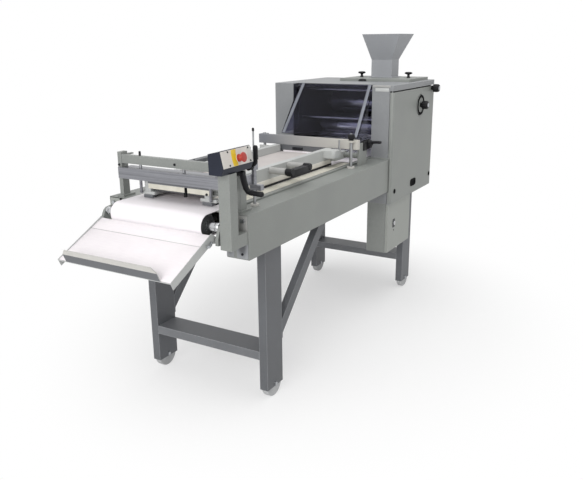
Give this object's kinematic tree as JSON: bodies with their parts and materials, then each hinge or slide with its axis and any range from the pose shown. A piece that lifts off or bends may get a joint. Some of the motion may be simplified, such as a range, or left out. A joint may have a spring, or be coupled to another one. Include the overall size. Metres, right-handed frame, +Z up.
{
  "type": "dough forming machine",
  "caption": "Floor-standing belt moulder that sheets dough between rollers, curls it under a net, rolls it long under a pressure board and drops it on a sloping tray.",
  "frame": {"origin": "on the floor under the middle of the machine's box", "axes": "+X along the belt from the outfeed tray to the head, +Y to the far side from the operator, +Z up"},
  "size_m": [2.4434, 0.794, 1.54],
  "materials": {
    "paint_grey": "satin grey paint",
    "belt_white": "woven white belt",
    "board_pale": "matt",
    "case_navy": "satin dark paint",
    "panel_pale": "satin",
    "stop_red": "gloss",
    "plastic_black": "fine grain",
    "steel_bright": "ground",
    "steel_brushed": "brushed",
    "guard_tint": "dark tint",
    "strip_aluminium": "satin",
    "motor_paint": "satin",
    "bearing_iron": "as cast",
    "wheel_rubber": "matt",
    "switchgear_grey": "matt"
  },
  "bodies": {
    "frame": {"right_side_beam": "paint_grey", "left_side_beam": "paint_grey", "legs": "paint_grey", "cross_members": "paint_grey", "leg_braces": "paint_grey", "frame_bolts": "steel_brushed", "belt_bed": "steel_brushed", "conveyor_belt": "belt_white", "end_brackets": "paint_grey", "control_post": "paint_grey", "gantry_frame": "paint_grey", "lift_columns": "steel_bright", "control_box": "case_navy", "control_panel": "panel_pale", "left_housing": "paint_grey", "right_housing": "paint_grey", "head_cover": "paint_grey", "hopper_plate": "paint_grey", "hopper": "paint_grey", "head_rods": "steel_brushed", "curling_net": "steel_brushed", "gear_motor": "motor_paint", "drive_chain": "steel_brushed", "roller_bearings": "bearing_iron", "cabinet_body": "paint_grey", "cabinet_fittings": "switchgear_grey", "guide_clamps": "plastic_black"},
    "carriage": {"lifting_bar": "paint_grey", "board_hangers": "board_pale", "pressure_board": "board_pale", "rear_crossbar": "paint_grey"},
    "guard": {"guard_panel": "guard_tint", "guard_strips": "strip_aluminium"},
    "gap_slide": {"gap_bearings": "bearing_iron"},
    "outfeed_tray": {"outfeed_tray": "paint_grey"},
    "hand_lever": {"hand_lever": "plastic_black"},
    "front_clamp_lever": {"front_clamp_lever": "plastic_black"},
    "rear_clamp": {"rear_clamp": "plastic_black"},
    "rear_knob": {"rear_knob": "plastic_black"},
    "right_guide": {"right_guide": "paint_grey"},
    "left_guide": {"left_guide": "paint_grey"},
    "outfeed_roller": {"outfeed_roller": "steel_brushed"},
    "drive_roller": {"drive_roller": "steel_brushed"},
    "feed_roller_front": {"feed_roller_front": "steel_brushed"},
    "feed_roller_rear": {"feed_roller_rear": "steel_brushed"},
    "sheet_roller_rear": {"sheet_roller_rear": "steel_brushed"},
    "sheet_roller_front": {"sheet_roller_front": "steel_brushed"},
    "motor_sprocket": {"motor_sprocket": "steel_brushed"},
    "cover_door": {"cover_door": "paint_grey"},
    "cover_knob": {"cover_knob": "plastic_black"},
    "gap_dial": {"gap_dial": "plastic_black"},
    "cabinet_door": {"cabinet_door": "paint_grey"},
    "cabinet_lock": {"cabinet_lock": "steel_bright"},
    "estop_button": {"estop_button": "stop_red"},
    "hopper_knob_left": {"hopper_knob_left": "plastic_black"},
    "hopper_knob_right": {"hopper_knob_right": "plastic_black"},
    "front_right_wheel": {"front_right_wheel": "wheel_rubber"},
    "front_left_wheel": {"front_left_wheel": "wheel_rubber"},
    "rear_right_wheel": {"rear_right_wheel": "wheel_rubber"},
    "rear_left_wheel": {"rear_left_wheel": "wheel_rubber"}
  },
  "joints": [
    {"name": "front_right_wheel_spin", "type": "hinge", "parent": "frame", "child": "front_right_wheel", "pos_m": [-0.6038, -0.2775, 0.058], "axis": [0, 1, 0], "continuous": true},
    {"name": "front_left_wheel_spin", "type": "hinge", "parent": "frame", "child": "front_left_wheel", "pos_m": [-0.6038, 0.3275, 0.058], "axis": [0, 1, 0], "continuous": true},
    {"name": "rear_right_wheel_spin", "type": "hinge", "parent": "frame", "child": "rear_right_wheel", "pos_m": [0.9762, -0.2775, 0.058], "axis": [0, 1, 0], "continuous": true},
    {"name": "rear_left_wheel_spin", "type": "hinge", "parent": "frame", "child": "rear_left_wheel", "pos_m": [0.9762, 0.3275, 0.058], "axis": [0, 1, 0], "continuous": true},
    {"name": "feed_roller_rear_spin", "type": "hinge", "parent": "frame", "child": "feed_roller_rear", "pos_m": [1.1467, 0.025, 1.14], "axis": [0, 1, 0], "continuous": true},
    {"name": "feed_roller_front_spin", "type": "hinge", "parent": "frame", "child": "feed_roller_front", "pos_m": [1.0167, 0.025, 1.14], "axis": [0, 1, 0], "continuous": true},
    {"name": "sheet_roller_rear_spin", "type": "hinge", "parent": "frame", "child": "sheet_roller_rear", "pos_m": [1.0247, 0.025, 1.01], "axis": [0, 1, 0], "continuous": true},
    {"name": "sheet_roller_front_spin", "type": "hinge", "parent": "gap_slide", "child": "sheet_roller_front", "pos_m": [0.9067, 0.025, 1], "axis": [0, 1, 0], "continuous": true},
    {"name": "drive_roller_spin", "type": "hinge", "parent": "frame", "child": "drive_roller", "pos_m": [1.1017, 0.025, 0.8392], "axis": [0, 1, 0], "continuous": true},
    {"name": "outfeed_roller_spin", "type": "hinge", "parent": "frame", "child": "outfeed_roller", "pos_m": [-0.9103, 0.025, 0.8392], "axis": [0, 1, 0], "continuous": true},
    {"name": "motor_sprocket_spin", "type": "hinge", "parent": "frame", "child": "motor_sprocket", "pos_m": [0.7767, -0.303, 0.94], "axis": [0, 1, 0], "continuous": true},
    {"name": "board_lift", "type": "slide", "parent": "frame", "child": "carriage", "axis": [0, 0, 1], "range_m": [-0.018, 0.012]},
    {"name": "hand_lever_turn", "type": "hinge", "parent": "frame", "child": "hand_lever", "pos_m": [-0.8263, -0.306, 1.034], "axis": [0, -1, 0], "range_deg": [-45.1, 30.1]},
    {"name": "rear_knob_turn", "type": "hinge", "parent": "carriage", "child": "rear_knob", "pos_m": [0.2347, -0.252, 1.031], "axis": [0, 0, 1], "range_deg": [-1621, 1081]},
    {"name": "front_clamp_turn", "type": "hinge", "parent": "carriage", "child": "front_clamp_lever", "pos_m": [-0.7133, -0.265, 1.034], "axis": [1, 0, 0], "range_deg": [-30, 60]},
    {"name": "rear_clamp_turn", "type": "hinge", "parent": "frame", "child": "rear_clamp", "pos_m": [0.4217, -0.263, 0.976], "axis": [1, 0, 0], "range_deg": [-40, 40]},
    {"name": "right_guide_shift", "type": "slide", "parent": "frame", "child": "right_guide", "axis": [0, -1, 0], "range_m": [0, 0.05]},
    {"name": "left_guide_shift", "type": "slide", "parent": "frame", "child": "left_guide", "axis": [0, 1, 0], "range_m": [0, 0.05]},
    {"name": "outfeed_tray_fold", "type": "hinge", "parent": "frame", "child": "outfeed_tray", "pos_m": [-0.9333, 0.025, 0.791], "axis": [0, -1, 0], "range_deg": [0, 60]},
    {"name": "estop_press", "type": "slide", "parent": "frame", "child": "estop_button", "axis": [0, 0.9728, -0.2316], "range_m": [0, 0.006], "stiffness_N_per_m": 1500},
    {"name": "guard_lift", "type": "hinge", "parent": "frame", "child": "guard", "pos_m": [0.6117, 0.025, 1.254], "axis": [0, 1, 0], "range_deg": [0, 80]},
    {"name": "cover_door_swing", "type": "hinge", "parent": "frame", "child": "cover_door", "pos_m": [0.5612, -0.337, 0.933], "axis": [0, 0, -1], "range_deg": [0, 105]},
    {"name": "cover_knob_turn", "type": "hinge", "parent": "cover_door", "child": "cover_knob", "pos_m": [1.1667, -0.37, 1.224], "axis": [0, 1, 0], "range_deg": [0, 90]},
    {"name": "gap_shift", "type": "slide", "parent": "frame", "child": "gap_slide", "axis": [-1, 0, 0], "range_m": [0, 0.008]},
    {"name": "gap_dial_turn", "type": "hinge", "parent": "frame", "child": "gap_dial", "pos_m": [0.9777, -0.37, 1.139], "axis": [0, 1, 0], "range_deg": [0, 271]},
    {"name": "cabinet_door_swing", "type": "hinge", "parent": "frame", "child": "cabinet_door", "pos_m": [0.9052, -0.323, 0.479], "axis": [0, 0, 1], "range_deg": [0, 110]},
    {"name": "cabinet_lock_turn", "type": "hinge", "parent": "cabinet_door", "child": "cabinet_lock", "pos_m": [0.6617, -0.332, 0.494], "axis": [0, 1, 0], "range_deg": [0, 90]},
    {"name": "hopper_knob_left_turn", "type": "hinge", "parent": "frame", "child": "hopper_knob_left", "pos_m": [1.0517, 0.065, 1.32], "axis": [0, 0, 1], "range_deg": [0, 360]},
    {"name": "hopper_knob_right_turn", "type": "hinge", "parent": "frame", "child": "hopper_knob_right", "pos_m": [1.0517, -0.239, 1.32], "axis": [0, 0, 1], "range_deg": [0, 360]}
  ],
  "couplings": [
    {"joint": "feed_roller_front_spin", "follows": "feed_roller_rear_spin", "ratio": -1},
    {"joint": "sheet_roller_rear_spin", "follows": "feed_roller_rear_spin", "ratio": 1},
    {"joint": "sheet_roller_front_spin", "follows": "feed_roller_rear_spin", "ratio": -1},
    {"joint": "drive_roller_spin", "follows": "feed_roller_rear_spin", "ratio": 1},
    {"joint": "outfeed_roller_spin", "follows": "feed_roller_rear_spin", "ratio": 1},
    {"joint": "motor_sprocket_spin", "follows": "feed_roller_rear_spin", "ratio": 1.2667},
    {"joint": "hand_lever_turn", "follows": "board_lift", "rad_per_m": 43.633},
    {"joint": "rear_knob_turn", "follows": "board_lift", "rad_per_m": 1570.8},
    {"joint": "gap_dial_turn", "follows": "gap_shift", "rad_per_m": 589.05}
  ]
}
